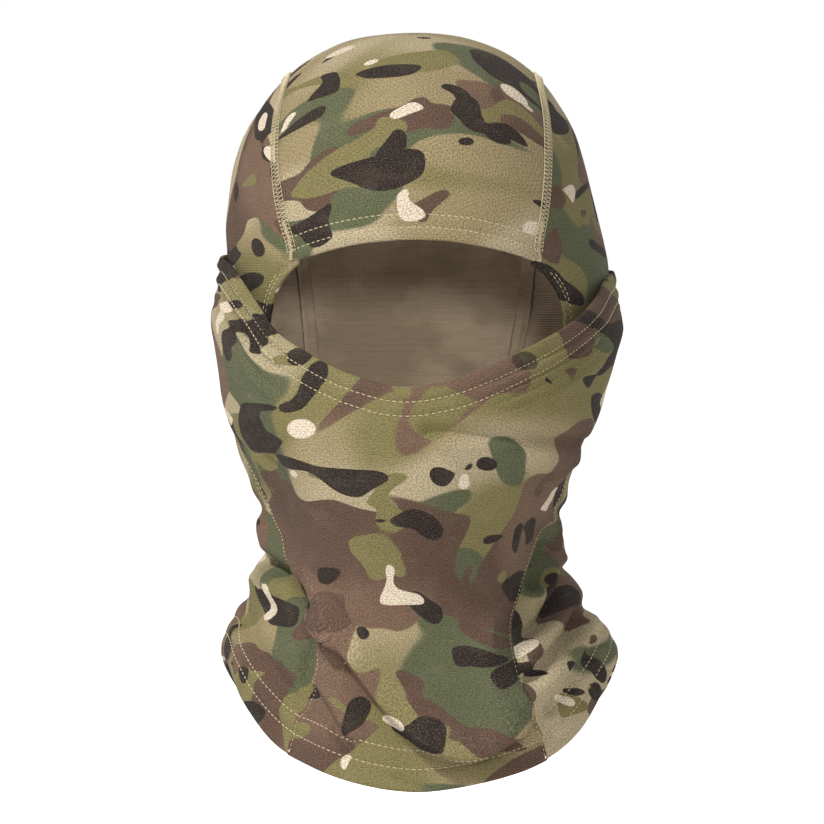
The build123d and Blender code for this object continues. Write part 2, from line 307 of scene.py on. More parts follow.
def away_from_seams(points, reach):
    """0 on a grid's first and last columns, where it is sewn, and 1 away from them."""
    first, last = distance_along(points, 1), distance_along(points, 1, from_end=True)
    return smoothstep(0, reach, first) * smoothstep(0, reach, last)


def stitch_dents(distance, rows, along, depth=DENT):
    """How far the cloth is pulled in under a hem's rows and stands up between them."""
    pucker = 1 + PUCKER * lattice_noise(along, np.full_like(distance, PUCKER_ROW), PUCKER_CELL, PUCKER_SEED)
    dents = -depth * sum(bell(distance - row, DENT_WIDTH) for row in rows) * pucker
    middle = (rows[0] + rows[1]) / 2
    swell = SWELL * bell(distance - middle, (rows[1] - rows[0]) / 3)
    rim = RIM * bell(distance - rows[0] / 2, rows[0] / 2.6)
    return dents + (swell + rim) * pucker


def fold(x, z, line, width, height):
    """A soft ridge, or a valley where height is negative, along a line of (x, z) points."""
    nearest = np.full(np.shape(x), np.inf)
    for (x0, z0), (x1, z1) in zip(line, line[1:]):
        dx, dz = x1 - x0, z1 - z0
        t = np.clip(((x - x0) * dx + (z - z0) * dz) / (dx * dx + dz * dz), 0, 1)
        nearest = np.minimum(nearest, np.hypot(x - x0 - t * dx, z - z0 - t * dz))
    return height * bell(nearest, width)


def at_heights(path, heights):
    """Which points lie between two heights."""
    return (path[:, 2] > heights[0]) & (path[:, 2] < heights[1])


def roll_edge(points, normals):
    """Rows that turn a grid's last row over, to lie two radii under it."""
    outward, up = points[-1] - points[-2], normals[-1]
    outward = unit(outward - np.sum(outward * up, axis=-1, keepdims=True) * up)
    turns = np.linspace(0, math.pi, ROLL_ROWS + 1)[1:]
    return np.stack([points[-1] + ROLL * (math.sin(t) * outward + (math.cos(t) - 1) * up) for t in turns])


ANY_HEIGHT = (-math.inf, math.inf)
ALL_EDGES = ("first_row", "last_row", "first_column", "last_column")
EDGES = {  # how to bring each edge of a grid to its last row, and back again
    "last_row": (lambda g: g, lambda g: g),
    "first_row": (lambda g: g[::-1], lambda g: g[::-1]),
    "last_column": (lambda g: g.swapaxes(0, 1), lambda g: g.swapaxes(0, 1)),
    "first_column": (lambda g: g.swapaxes(0, 1)[::-1], lambda g: g[::-1].swapaxes(0, 1)),
}


class Cloth:
    """A grid of cloth: its points and outward normals in mm, and its own flat coordinates."""

    def __init__(self, points, flat, inside):
        self.points, self.flat, self.inside = points, flat, np.array(inside, float)
        self.normals = normals_of(points, self.inside)

    def push(self, amount):
        """Moves every point out along its normal, by its own amount."""
        self.points = self.points + self.normals * amount[..., None]
        self.normals = normals_of(self.points, self.inside)

    def dent_hems(self, first_rows, last_rows, along):
        """Dents along the stitching of the hems on the first and the last row."""
        first, last = distance_along(self.points, 0), distance_along(self.points, 0, from_end=True)
        self.push(stitch_dents(first, first_rows, along) + stitch_dents(last, last_rows, along))

    def rolled(self, edges):
        """A copy whose named edges are turned over."""
        points, flat = self.points, self.flat
        for edge in edges:
            forth, back = EDGES[edge]
            turned = Cloth(forth(points), forth(flat), self.inside)
            extra = roll_edge(turned.points, turned.normals)
            step = unit(turned.flat[-1] - turned.flat[-2]) * ROLL_STEP
            more = np.stack([turned.flat[-1] + step * (k + 1) for k in range(ROLL_ROWS)])
            points = back(np.concatenate([turned.points, extra]))
            flat = back(np.concatenate([turned.flat, more]))
        return Cloth(points, flat, self.inside)

    def turned_in(self, edge, depth, heights=ANY_HEIGHT):
        """The part of a hem that lies inside: a strip of the grid along its edge."""
        forth, _ = EDGES[edge]
        points = forth(self.points)
        rows = distance_along(points, 0, from_end=True).mean(axis=1) <= depth
        columns = at_heights(points[-1], heights)
        parts = (points, forth(self.normals), forth(self.flat))
        strip, normals, flat = (part[rows][:, columns] for part in parts)
        hem = Cloth(strip - 2 * ROLL * normals, flat, self.inside)
        hem.normals = -hem.normals
        return hem

    def row_at(self, edge, depth, heights=ANY_HEIGHT):
        """The path on the cloth at a depth from an edge, with its normals."""
        forth, _ = EDGES[edge]
        points, normals = forth(self.points)[::-1], forth(self.normals)[::-1]
        far = distance_along(points, 0)
        i = np.clip((far < depth).sum(axis=0), 1, len(far) - 1)
        j = np.arange(far.shape[1])
        t = ((depth - far[i - 1, j]) / np.maximum(far[i, j] - far[i - 1, j], TINY))[:, None]
        path, ups = (part[i - 1, j] * (1 - t) + part[i, j] * t for part in (points, normals))
        kept = at_heights(path, heights)
        return path[kept], ups[kept]


# --- Meshes ---
def new_object(name, vertices, faces, materials, uv=None, face_slots=None):
    mesh = bpy.data.meshes.new(name)
    mesh.from_pydata((vertices * MM).tolist(), [], faces)
    mesh.shade_smooth()
    for material in materials:
        mesh.materials.append(material)
    if face_slots is not None:
        mesh.polygons.foreach_set("material_index", face_slots)
    if uv is not None:
        loops = np.zeros(len(mesh.loops), np.int32)
        mesh.loops.foreach_get("vertex_index", loops)
        layer = mesh.uv_layers.new(name="cloth")
        layer.data.foreach_set("uv", (uv[loops] * MM).astype(np.float32).ravel())
    mesh.update()
    obj = bpy.data.objects.new(name, mesh)
    bpy.context.scene.collection.objects.link(obj)
    return obj


def cloth_object(name, cloth, outside):
    """A closed sheet: the grid, the same one thickness further in as the knit's reverse, and the rim."""
    points, normals = cloth.points.reshape(-1, 3), cloth.normals.reshape(-1, 3)
    index = np.arange(len(points)).reshape(cloth.points.shape[:2])
    quads = np.stack([index[:-1, :-1], index[:-1, 1:], index[1:, 1:], index[1:, :-1]], -1).reshape(-1, 4)
    a, b, c = (points[quads[:, k]] for k in range(3))
    facing = np.sum(np.cross(b - a, c - a) * normals[quads[:, 0]], axis=-1).sum()
    loop = np.concatenate([index[0, :-1], index[:-1, -1], index[-1, :0:-1], index[:0:-1, 0]])
    if facing < 0:
        quads, loop = quads[:, ::-1], loop[::-1]
    after, under = np.roll(loop, -1), len(points)
    rim = np.stack([after, loop, loop + under, after + under], -1)
    faces = np.concatenate([quads, quads[:, ::-1] + under, rim])
    slots = (np.arange(len(faces)) >= len(quads)).astype(np.int32)
    vertices = np.concatenate([points, points - normals * CLOTH])
    uv = np.tile(cloth.flat.reshape(-1, 2), (2, 1))
    return new_object(name, vertices, faces.tolist(), [outside, REVERSE], uv, slots)


def spaced(path, normals, step):
    """The path again, with its points evenly spaced."""
    far = np.concatenate([[0], np.cumsum(np.linalg.norm(np.diff(path, axis=0), axis=1))])
    at = np.arange(0, far[-1], step)
    even, ups = (np.stack([np.interp(at, far, p[:, k]) for k in range(3)], -1) for p in (path, normals))
    return even, unit(ups)


def tubes(strands):
    """Vertices and faces of closed tubes. A strand is (points, radii, an up vector for each point)."""
    vertices, faces, start = [], [], 0
    turn = np.linspace(0, 2 * math.pi, THREAD_SIDES, endpoint=False)
    for points, radii, up in strands:
        along = unit(np.gradient(points, axis=0))
        side = unit(np.cross(along, up))
        top = np.cross(side, along)
        ring = side[:, None] * np.cos(turn)[None, :, None] + top[:, None] * np.sin(turn)[None, :, None]
        vertices.append((points[:, None] + ring * radii[:, None, None]).reshape(-1, 3))
        count = len(points)
        index = start + np.arange(count * THREAD_SIDES).reshape(count, THREAD_SIDES)
        after = np.roll(index, -1, axis=1)
        quads = np.stack([index[:-1], after[:-1], after[1:], index[1:]], -1).reshape(-1, 4)
        faces += quads.tolist() + [index[0, ::-1].tolist(), index[-1].tolist()]
        start += count * THREAD_SIDES
    return np.concatenate(vertices), faces


def stitches(path, normals, length=STITCH, gap=STITCH_GAP, radius=THREAD):
    """Straight stitches along a path: each comes out of the cloth, lies on it and goes back in."""
    points, ups = spaced(path, normals, length + gap)
    radii = radius * np.array([share for _, _, share in STITCH_SHAPE])
    strands = []
    for p, q, up in zip(points, points[1:], ups):
        run = (q - p) * length / (length + gap)
        line = np.array([p + run * t + up * height for t, height, _ in STITCH_SHAPE])
        strands.append((line, radii, np.tile(up, (len(line), 1))))
    return strands


def hem_stitches(cloth, edge, rows, heights=ANY_HEIGHT):
    """The stitches of a hem's rows, each at its own distance from the edge."""
    strands = []
    for row in rows:
        strands += stitches(*cloth.row_at(edge, row, heights))
    return strands


def zigzag(path, normals, width, pitch, height):
    """One thread that crosses a seam from side to side."""
    points, ups = spaced(path, normals, pitch)
    across = unit(np.cross(np.gradient(points, axis=0), ups))
    sign = np.where(np.arange(len(points)) % 2, 1.0, -1.0)[:, None]
    line = points + across * sign * width / 2 + ups * height
    middle = (line[:-1] + line[1:]) / 2 + ups[:-1] * CROSSING_LIFT
    strand = np.empty((2 * len(line) - 1, 3))
    strand[0::2] = line
    strand[1::2] = middle
    return [(strand, np.full(len(strand), THREAD), np.repeat(ups, 2, axis=0)[:len(strand)])]


# --- Centre panel: from the brow over the crown, and down to the neck's edge at the back ---
DOME_MIDDLE_Y = 2.5
DOME_TURN = 105.0  # mm of cloth counted for each radian over the dome
DOME_REACH, HALVINGS = 150.0, 36  # the search for the dome's surface starts beyond it
SEAM_GUESS, SEAM_ROUNDS = 55.0, 25
EDGE_ROUNDS = 12  # of finding where the panel meets the brow's edge
HEM_HALF_X = 48.0  # half width of the panel at the neck's edge


def dome_radius(x, turn):
    """Distance from the dome's middle to its surface at x, at an angle turned back from the face."""
    low, high = np.zeros(np.shape(x)), np.full(np.shape(x), DOME_REACH)
    for _ in range(HALVINGS):
        r = (low + high) / 2
        y, z = DOME_MIDDLE_Y - r * np.cos(turn), DOME_BASE_Z + r * np.sin(turn)
        w, middle, depth = plan_at(z)
        inside = (x / np.maximum(w, 1e-3)) ** 2 + ((y - middle) / np.maximum(depth, 1e-3)) ** 2 < 1
        low, high = np.where(inside, r, low), np.where(inside, high, r)
    return (low + high) / 2


def over_the_crown(x, far):
    """The point at x, after a length of cloth measured from the dome's base at the face."""
    turn = np.clip(far / DOME_TURN, 0, math.pi)
    r = dome_radius(x, turn)
    dome = np.stack([x, DOME_MIDDLE_Y - r * np.cos(turn), DOME_BASE_Z + r * np.sin(turn)], axis=-1)
    z = DOME_BASE_Z - (far - math.pi * DOME_TURN)
    below = hood_point(angle_at_x(x, z, behind=True), z)
    return np.where((far < math.pi * DOME_TURN)[..., None], dome, below)


def seam_beside(far):
    """Distance of the crown seams from the middle, after the same length of cloth."""
    x = np.full(np.shape(far), SEAM_GUESS)
    front = far < DOME_TURN * math.pi / 2
    for _ in range(SEAM_ROUNDS):
        z = over_the_crown(x, far)[..., 2]
        x = 0.5 * x + 0.5 * np.where(front, crown_front(z), crown_back(z))
    return x


def centre_grid():
    """Places across, cloth from the dome's base, and points, row by row from the brow."""
    across = np.linspace(-1, 1, CENTRE_COLUMNS)
    end = math.pi * DOME_TURN + DOME_BASE_Z - hem_height(across * HEM_HALF_X)
    start = np.zeros_like(across)
    for _ in range(EDGE_ROUNDS):
        x = across * seam_beside(start)
        rise = (brow_height(x) - DOME_BASE_Z) / dome_radius(x, start / DOME_TURN)
        start = DOME_TURN * np.arcsin(np.clip(rise, 0, 1))
    length = float(end.mean() - start.mean())
    share = rows_between(length, CENTRE_STEP, HEM_STEP, BROW_HEM + HEM_MARGIN, NECK_HEM + HEM_MARGIN)
    far = start[None, :] + (end - start)[None, :] * share[:, None]
    middle_far = far[:, len(across) // 2]
    x = across[None, :] * np.interp(far, middle_far, seam_beside(middle_far))
    return x, far, widened(over_the_crown(x, far))


def centre_cloth():
    """The centre panel, with its slack, its rolls at the nape and the dents of its hems."""
    x, far, points = centre_grid()
    cloth = Cloth(points, np.stack([x, -far], axis=-1), CENTRE_INSIDE)
    wide, z = points[..., 0], points[..., 2]
    phase = CENTRE_ROLL_WAVE * np.cos(wide / CENTRE_ROLL_WAVE_LENGTH)
    rolls = CENTRE_ROLL * np.sin(z / ROLL_PITCH + phase) * bell(wide, CENTRE_ROLL_REACH)
    rolls += slack_at(wide + CENTRE_SHIFT, z * CENTRE_FLATNESS, CENTRE_CRUSH)
    slack = slack_at(x + CENTRE_SHIFT, far, CENTRE_SLACK)
    cloth.push(away_from_seams(points, CENTRE_FREE) * (between(*CENTRE_NAPE, z) * rolls + slack))
    cloth.dent_hems(BROW_ROWS, NECK_ROWS, x)
    return cloth


# --- Side panels: from the neck's edge up past the ear to where the two crown seams meet ---
CORNER_FRONT_Z, CORNER_BACK_Z = -208.0, -212.0  # ends of the panel's stretch of the neck's edge
HEM_GUESS_Z, HEM_ROUNDS = -180.0, 40
SIDE_LENGTH, SIDE_CROWDING = 300.0, 1.35  # cloth up the panel, and how its rows crowd at the crown
SIDE_LAST_ROW = 1 - 1e-3  # just short of the point where the two crown seams meet
SIDE_FLAT_START = 70.0
SIDE_CALM_Z = (92, 80)  # above this the panel is too narrow to be slack
SEAM_TO_CHEEK_Z = (-99, -91)
CHEEK_TO_CROWN_Z = 13.0
CORNER_GAP, CORNER_GAP_Z = 0.025, (3, 12)  # radians kept clear of the crown seam beside the brow
CHEEK_SPAN_Z = ((-99, -92), (8, 14))
CHEEK_LIP, CHEEK_LIP_IN, CHEEK_LIP_WIDTH = 0.7, 0.6, 1.8


def side_front_angle(z):
    """The front boundary: neck seam, then the cheek's edge, then the front crown seam."""
    seam = angle_at_x(front_seam_x(z), z)
    cheek = angle_at_y(cheek_depth(z), z)
    crown = angle_at_x(crown_front(z), z)
    upper = smoothstep(*SEAM_TO_CHEEK_Z, z)
    below = seam * (1 - upper) + cheek * upper
    clear = np.maximum(below, crown + CORNER_GAP * smoothstep(*CORNER_GAP_Z, z))
    below = np.where(z > 0, clear, below)
    return np.where(z < CHEEK_TO_CROWN_Z, below, crown)


def side_grid(side):
    """The panel's angles and points, row by row from the neck's edge, as if for the wearer's left."""
    across = np.linspace(0, 1, SIDE_COLUMNS)
    corner_front = angle_at_x(front_seam_x(CORNER_FRONT_Z), CORNER_FRONT_Z)
    corner_back = angle_at_x(crown_back(CORNER_BACK_Z), CORNER_BACK_Z, behind=True)
    hem_angle = corner_front + (corner_back - corner_front) * across
    hem_z = np.full_like(across, HEM_GUESS_Z)
    for _ in range(HEM_ROUNDS):
        hem_z = 0.6 * hem_z + 0.4 * hem_height(side * plan_at(hem_z)[0] * np.sin(hem_angle))
    up = 1 - (1 - rows_between(SIDE_LENGTH, SIDE_STEP, HEM_STEP, NECK_HEM + HEM_MARGIN)) ** SIDE_CROWDING
    up[-1] = SIDE_LAST_ROW
    z = hem_z[None, :] * (1 - up[:, None]) + CROWN_SEAM_TOP_Z * up[:, None]
    front = side_front_angle(z)
    back = angle_at_x(crown_back(z), z, behind=True)
    angle = front + (back - front) * across[None, :]
    return angle, hood_point(angle, z)


def side_cloth(side):
    """The panel over one ear; side is 1 for the wearer's left and -1 for the right."""
    angle, points = side_grid(side)
    z = points[..., 2]
    along = distance_along(points, 1) - SIDE_FLAT_START
    cloth = Cloth(points, np.stack([along, z], axis=-1), SIDE_INSIDE)
    place = along + SIDE_SHIFT + LEFT_SHIFT * side
    behind = smoothstep(*SIDE_NAPE_BEHIND, np.degrees(angle))
    rolls = SIDE_ROLL * np.sin(z / ROLL_PITCH + SIDE_ROLL_PHASE * side + angle * SIDE_ROLL_SLOPE)
    rolls += slack_at(place, z * SIDE_FLATNESS, SIDE_CRUSH)
    free = away_from_seams(points, SIDE_FREE) * smoothstep(*SIDE_CALM_Z, z)
    cloth.push(free * (slack_at(place, z, SIDE_SLACK) + between(*SIDE_NAPE, z) * behind * rolls))
    cloth = Cloth(widened(cloth.points * (side, 1, 1)), cloth.flat * (side, 1), SIDE_INSIDE)
    cloth.push(folds_at(cloth.points, NECK_FOLDS))
    neck, cheek = distance_along(cloth.points, 0), distance_along(cloth.points, 1)
    lip = CHEEK_LIP * bell(cheek - CHEEK_LIP_IN, CHEEK_LIP_WIDTH)
    dents = (stitch_dents(cheek, CHEEK_ROWS, z, CHEEK_DENT) + lip) * between(*CHEEK_SPAN_Z, z)
    cloth.push(dents + stitch_dents(neck, NECK_ROWS, along))
    return cloth


# --- Front sheet: the neck's front and the pull-down face cover, cut in one ---
# Angles are in degrees from the face. The tables go by the height of the sheet's side edge.
SHEET_TOP = [  # angle, height of the cover's top edge
    (-112, 17), (-90, 15), (-75, 11), (-58, -4.5), (-49, -16), (-35, -27), (-18.6, -37), (-4.4, -42),
    (10, -39.5), (25, -32), (42, -22), (54.4, -14), (70, -2), (77, 3.5), (90, 8), (112, 10),
]
SHEET_EDGE_TOP_Z, SHEET_EDGE_DROP = 17.0, 222.0
SHEET_ANGLE = [
    (17, 108), (-20, 108), (-50, 97), (-61, 86), (-73, 77), (-93, 71), (-112, 59), (-133, 41),
    (-152, 31.6), (-168, 30.2), (-182, 33.7), (-205, 38.8),
]
SHEET_HALF_WIDTH = [
    (17, 84.5), (2, 90), (-8, 93.5), (-20, 92.5), (-38, 88.5), (-52, 85.5), (-58, 84), (-65, 81),
    (-73, 79.5), (-93, 71), (-112, 69), (-133, 74), (-152, 83), (-168, 89), (-182, 90), (-205, 91),
]
SHEET_DEPTH = [  # height on the middle line, distance in front of the ears
    (-42, 127), (-60, 126), (-80, 122), (-100, 114), (-120, 105), (-140, 99), (-160, 98), (-180, 101),
    (-200, 105), (-225, 110),
]
SHEET_MIDDLE_Y, SHEET_BEHIND_EAR = -4.0, 30.0
SAG_LINE = [  # x and height of the lowest fold of the slack cloth under the chin
    (-60, -112), (-50, -128), (-42, -140), (-29, -159), (-13, -181), (5, -198), (28, -203), (42, -195),
    (56, -180),
]
NECK_FOLDS = [  # line of (x, height) points, width, height
    ([(-70, -105), (-66, -114), (-50, -122)], 5.0, 3.6),
    ([(-70, -120), (-60, -126), (-53, -126), (-45, -136)], 2.8, -6.0),
    ([(-70, -131), (-57, -136), (-44, -148), (-42, -157)], 6.5, 5.0),
    ([(-44, -158), (-49, -166), (-50, -174), (-42, -186), (-30, -203)], 2.8, -4.5),
    ([(-78, -146), (-73, -160), (-61, -176), (-49, -186)], 4.5, -4.0),
    ([(-76, -160), (-66, -176), (-54, -190)], 5.0, 2.5),
    ([(62, -103), (67.5, -117), (62, -133), (53, -138)], 3.8, 4.4),
    ([(61, -115), (55, -131)], 3.4, -8.0),
    ([(67, -127), (64, -139), (58, -147), (51, -152)], 2.4, -6.5),
    ([(76, -132), (71, -142), (64, -150), (54, -158), (50, -166)], 4.2, 4.0),
    ([(73, -148), (69, -155), (62, -163), (52, -172)], 2.6, -6.0),
    ([(80, -151), (71, -164), (60, -175), (51, -183)], 4.4, 3.6),
    ([(82, -158), (72, -174), (62, -186)], 3.2, -3.0),
]
COVER_FOLDS = [  # the same, above the neck
    ([(6, -61), (57, -64), (76, -67)], 3.0, -2.6), ([(14, -67), (57, -71), (74, -76)], 4.5, 2.4),
    ([(52, -84), (70, -92)], 5.0, -1.6), ([(-70, -60), (-60, -84), (-52, -104)], 6.0, -2.0),
    ([(-58, -56), (-49, -80), (-44, -104), (-36, -124)], 7.0, 1.8), ([(60, -98), (44, -128)], 7.0, -1.6),
]
FOLD_FRONT_Y = (8, -20)  # the folds fade out over this depth, beside the neck
EAR_PLEATS = [  # distance below the cover's edge, width, height, at the wearer's right ear
    (3.2, 1.9, 3.2), (9.8, 1.9, 3.6), (16.6, 2.1, 3.4), (24.0, 2.6, 2.0),
]
CHEEK_CREASES = [  # the same on the left, where the cloth is only drawn tight
    (9.2, 1.3, 0.9), (14.2, 1.3, 1.0), (18.6, 1.4, 1.0), (23.5, 1.6, 0.8),
]
EAR_SPAN_X, EAR_RIM_X = (-54, -68), (-82, -90)  # where each set starts, and fades at the outline
CHEEK_SPAN_X, CHEEK_RIM_X = (30, 52), (80, 90)
RIM_FADE = 0.8
SAG_BULGE, SAG_ABOVE, SAG_BELOW = 9.5, 19.0, 2.6  # the slack fold: height, and its reach up and down
SAG_UNDERCUT, SAG_UNDERCUT_Z, SAG_UNDERCUT_REACH = 4.5, (0, -5), 15.0
SAG_HANG, SAG_HANG_OFF, SAG_HANG_REACH = 5.5, 1.0, 4.5
SAG_SPAN_X, SAG_FRONT_Y = ((-60, -30), (58, 44)), (0, -25)
HEM_SLACK, HEM_SLACK_REACH = 0.35, (2, 22)  # the hem holds the cloth calmer
SHEET_FREE = (1.0, 0.86)  # shares of the way to its side edges between which the folds fade in
SHEET_LENGTH, SHEET_FLAT_RADIUS = 200.0, 90.0
EDGE_PULL, EDGE_LIFT_Z = (0.72, 1.0), (-100, -88)  # above these heights its edges lie 1 mm off the panel
SEAM_TO_SIDE_Z = (-104, -86)
sag_height = curve(SAG_LINE)


def folds_at(points, lines):
    """Folds that fade out beside the neck. Those of the neck run on across the front seams."""
    x, y, z = np.moveaxis(points, -1, 0)
    return sum(fold(x, z, *line) for line in lines) * smoothstep(*FOLD_FRONT_Y, y)


def pleats_at(down, pleats):
    return sum(height * bell(down - far, width) for far, width, height in pleats)


def sheet_edge(z, y):
    """Where the sheet is sewn on: to the side panel past the ear, and to the seam lower down."""
    on_side = angle_at_y(-y, z)
    on_seam = angle_at_x(front_seam_x(z), z)
    upper = smoothstep(*SEAM_TO_SIDE_Z, z)
    return hood_point(on_seam * (1 - upper) + on_side * upper, z)


def pull_to_seam(points, s, column, side):
    """Moves one side edge of the sheet onto the hood, with the cloth near it."""
    edge = points[:, column].copy()
    target = sheet_edge(edge[:, 2], edge[:, 1]) * np.array([side, 1, 1])
    target[:, 0] += side * smoothstep(*EDGE_LIFT_Z, edge[:, 2])
    near = smoothstep(*EDGE_PULL, s * side)
    points += (target - edge)[:, None, :] * near[None, :, None]


def front_cloth():
    """The sheet without its folds, row by row from the cover's top edge, from right to left."""
    s = np.linspace(-1, 1, SHEET_COLUMNS)
    hems = COVER_HEM + HEM_MARGIN, NECK_HEM + HEM_MARGIN
    v = rows_between(SHEET_LENGTH, SHEET_STEP, SHEET_HEM_STEP, *hems)[:, None]
    edge_z = SHEET_EDGE_TOP_Z - SHEET_EDGE_DROP * v
    angle = np.radians(s[None, :] * curve(SHEET_ANGLE)(edge_z))
    half = curve(SHEET_HALF_WIDTH)(edge_z)
    top = curve(SHEET_TOP)(s * curve(SHEET_ANGLE)(SHEET_EDGE_TOP_Z))[None, :]
    bottom = hem_height(half[-1] * np.sin(angle[-1]))[None, :]
    z = top * (1 - v) + bottom * v
    depth = curve(SHEET_DEPTH)(z[:, [SHEET_COLUMNS // 2]]) + SHEET_MIDDLE_Y
    forward = np.where(np.cos(angle) > 0, depth, SHEET_BEHIND_EAR) * np.cos(angle)
    points = np.stack([half * np.sin(angle), SHEET_MIDDLE_Y - forward, z], axis=-1)
    for column, side in ((0, -1), (-1, 1)):
        pull_to_seam(points, s, column, side)
    return Cloth(widened(points), np.stack([angle * SHEET_FLAT_RADIUS, z], axis=-1), SHEET_INSIDE)


def sag_at(x, y, z):
    """How far the slack fold under the chin pushes the cloth out, and how far it hangs down."""
    places = np.arange(-80, 81.0)
    slope = np.gradient(sag_height(places))
    off = (z - sag_height(x)) * (1 / np.sqrt(1 + np.interp(x, places, slope) ** 2))
    left, right = SAG_SPAN_X
    reach = smoothstep(*left, x) * smoothstep(*right, x) * smoothstep(*SAG_FRONT_Y, y)
    under = SAG_UNDERCUT * smoothstep(*SAG_UNDERCUT_Z, off) * bell(off, SAG_UNDERCUT_REACH)
    out = SAG_BULGE * np.where(off > 0, bell(off, SAG_ABOVE), bell(off, SAG_BELOW)) - under
    return out * reach, SAG_HANG * bell(off - SAG_HANG_OFF, SAG_HANG_REACH) * reach


def fold_front(cloth):
    """Gives the sheet its sag under the chin, its creases, pleats and slack, and its hems' dents."""
    x, y, z = np.moveaxis(cloth.points, -1, 0)
    bulge, hang = sag_at(x, y, z)
    creases = folds_at(cloth.points, COVER_FOLDS)
    down = distance_along(cloth.points, 0)
    at_ear = smoothstep(*EAR_SPAN_X, x) * (1 - RIM_FADE * smoothstep(*EAR_RIM_X, x))
    drawn = pleats_at(down, CHEEK_CREASES) * smoothstep(*CHEEK_SPAN_X, x)
    pleats = pleats_at(down, EAR_PLEATS) * at_ear + drawn * (1 - RIM_FADE * smoothstep(*CHEEK_RIM_X, x))
    hem = distance_along(cloth.points, 0, from_end=True)
    calm = HEM_SLACK + (1 - HEM_SLACK) * smoothstep(*HEM_SLACK_REACH, hem)
    slack = slack_at(x + SHEET_SHIFT, z, SHEET_SLACK) * calm
    free = smoothstep(*SHEET_FREE, np.abs(np.linspace(-1, 1, SHEET_COLUMNS)))
    cloth.push(free * (bulge + creases + pleats + slack) + folds_at(cloth.points, NECK_FOLDS))
    cloth.points[..., 2] -= hang
    cloth.normals = normals_of(cloth.points, cloth.inside)
    cloth.dent_hems(COVER_ROWS, NECK_ROWS, cloth.flat[..., 0])


# --- Materials ---
def linear(r, g, b):
    """A colour given as 0-255 screen values."""
    values = (c / 255 for c in (r, g, b))
    return tuple(c / 12.92 if c <= 0.04045 else ((c + 0.055) / 1.055) ** 2.4 for c in values) + (1.0,)


class Nodes:
    """Short ways to add and join the nodes of one material."""

    def __init__(self, name, roughness, sheen):
        self.material = bpy.data.materials.new(name)
        self.material.use_nodes = True
        self.tree = self.material.node_tree
        self.shader = self.tree.nodes["Principled BSDF"]
        self.feed(self.shader, {"Roughness": roughness, "Specular IOR Level": 0.03})
        self.feed(self.shader, {"Sheen Weight": sheen, "Sheen Roughness": 0.6})

    def feed(self, node, inputs):
        """Gives a node's inputs, by name or number, their values or other nodes' outputs."""
        for key, value in inputs.items():
            if isinstance(value, bpy.types.NodeSocket):
                self.tree.links.new(value, node.inputs[key])
            else:
                node.inputs[key].default_value = value

    def add(self, kind, inputs, **settings):
        """Makes a node and returns its outputs."""
        node = self.tree.nodes.new("ShaderNode" + kind)
        for key, value in settings.items():
            setattr(node, key, value)
        self.feed(node, inputs)
        return node.outputs

    def math(self, operation, a, b):
        return self.add("Math", {0: a, 1: b}, operation=operation)[0]

    def place(self, scale, offset=(0, 0), turn=0.0):
        """The cloth's own flat coordinates, scaled to features per metre."""
        uv = self.add("UVMap", {}, uv_map="cloth")[0]
        inputs = {"Vector": uv, "Scale": (*scale, 1), "Location": (*offset, 0), "Rotation": (0, 0, turn)}
        return self.add("Mapping", inputs)[0]

    def wave(self, direction, across, up, turn=0.0, **shape):
        """Bands across the cloth, so many to the metre."""
        place = self.place((across * 2 * math.pi, up * 2 * math.pi), turn=turn)
        inputs = {"Vector": place, "Scale": WAVE_UNIT, **shape}
        return self.add("TexWave", inputs, wave_type="BANDS", bands_direction=direction)["Fac"]

    def noise(self, place, detail=2.0, roughness=0.5, distortion=0.0):
        inputs = {"Vector": place, "Scale": 1.0, "Detail": detail}
        inputs |= {"Roughness": roughness, "Distortion": distortion}
        return self.add("TexNoise", inputs, noise_dimensions="2D")[0]

    def step(self, value, low, high):
        inputs = {"Value": value, "From Min": low, "From Max": high}
        return self.add("MapRange", inputs, interpolation_type="SMOOTHSTEP")[0]

    def veil(self, value, low, high, most):
        """A share that rises to most as a value goes from low to high."""
        return self.math("MULTIPLY", self.step(value, low, high), most)

    def mix(self, share, a, b):
        return self.add("Mix", {0: share, 6: a, 7: b}, data_type="RGBA")[2]

    def bump(self, height, distance, strength=1.0, **under):
        inputs = {"Height": height, "Distance": distance, "Strength": strength, **under}
        return self.add("Bump", inputs)[0]

    def finish(self, colour, normal):
        self.feed(self.shader, {"Base Color": colour, "Normal": normal})
        return self.material


KHAKI, SAND, OLIVE = linear(125, 114, 91), linear(107, 95, 69), linear(86, 80, 49)
GREEN, BROWN, DARK_BROWN = linear(60, 64, 44), linear(63, 47, 38), linear(23, 18, 16)
LIGHT_BROWN, CREAM, SHADE = linear(79, 61, 49), linear(157, 145, 128), linear(28, 22, 18)
REVERSE_DARK, REVERSE_LIGHT = linear(134, 119, 98), linear(154, 138, 116)
THREAD_DARK, THREAD_LIGHT = linear(112, 101, 77), linear(152, 139, 110)
WALE, COURSE = 1 / 0.00150, 1 / 0.00112  # columns and rows of the knit in a metre
HOLE_COLUMN, HOLE_ROW, HOLE_TURN = 430, 560, 0.6
WAVE_UNIT = 1 / 20  # the wave node counts 20 radians to a unit
GRAIN, SPECKS, WEAR, RIBS = (1350, 1550), (1700, 1900), (60, 80), (60, 650)  # features in a metre


def knit_bump(nodes):
    """The height of the knit: rows of small loops, the rows stronger than the columns."""
    uneven = {"Distortion": 1.2, "Detail": 1.0, "Detail Scale": 2.0}
    columns, rows = (nodes.wave(direction, WALE, COURSE, **uneven) for direction in "XY")
    return nodes.math("ADD", nodes.math("MULTIPLY", columns, 0.35), nodes.math("MULTIPLY", rows, 0.6))


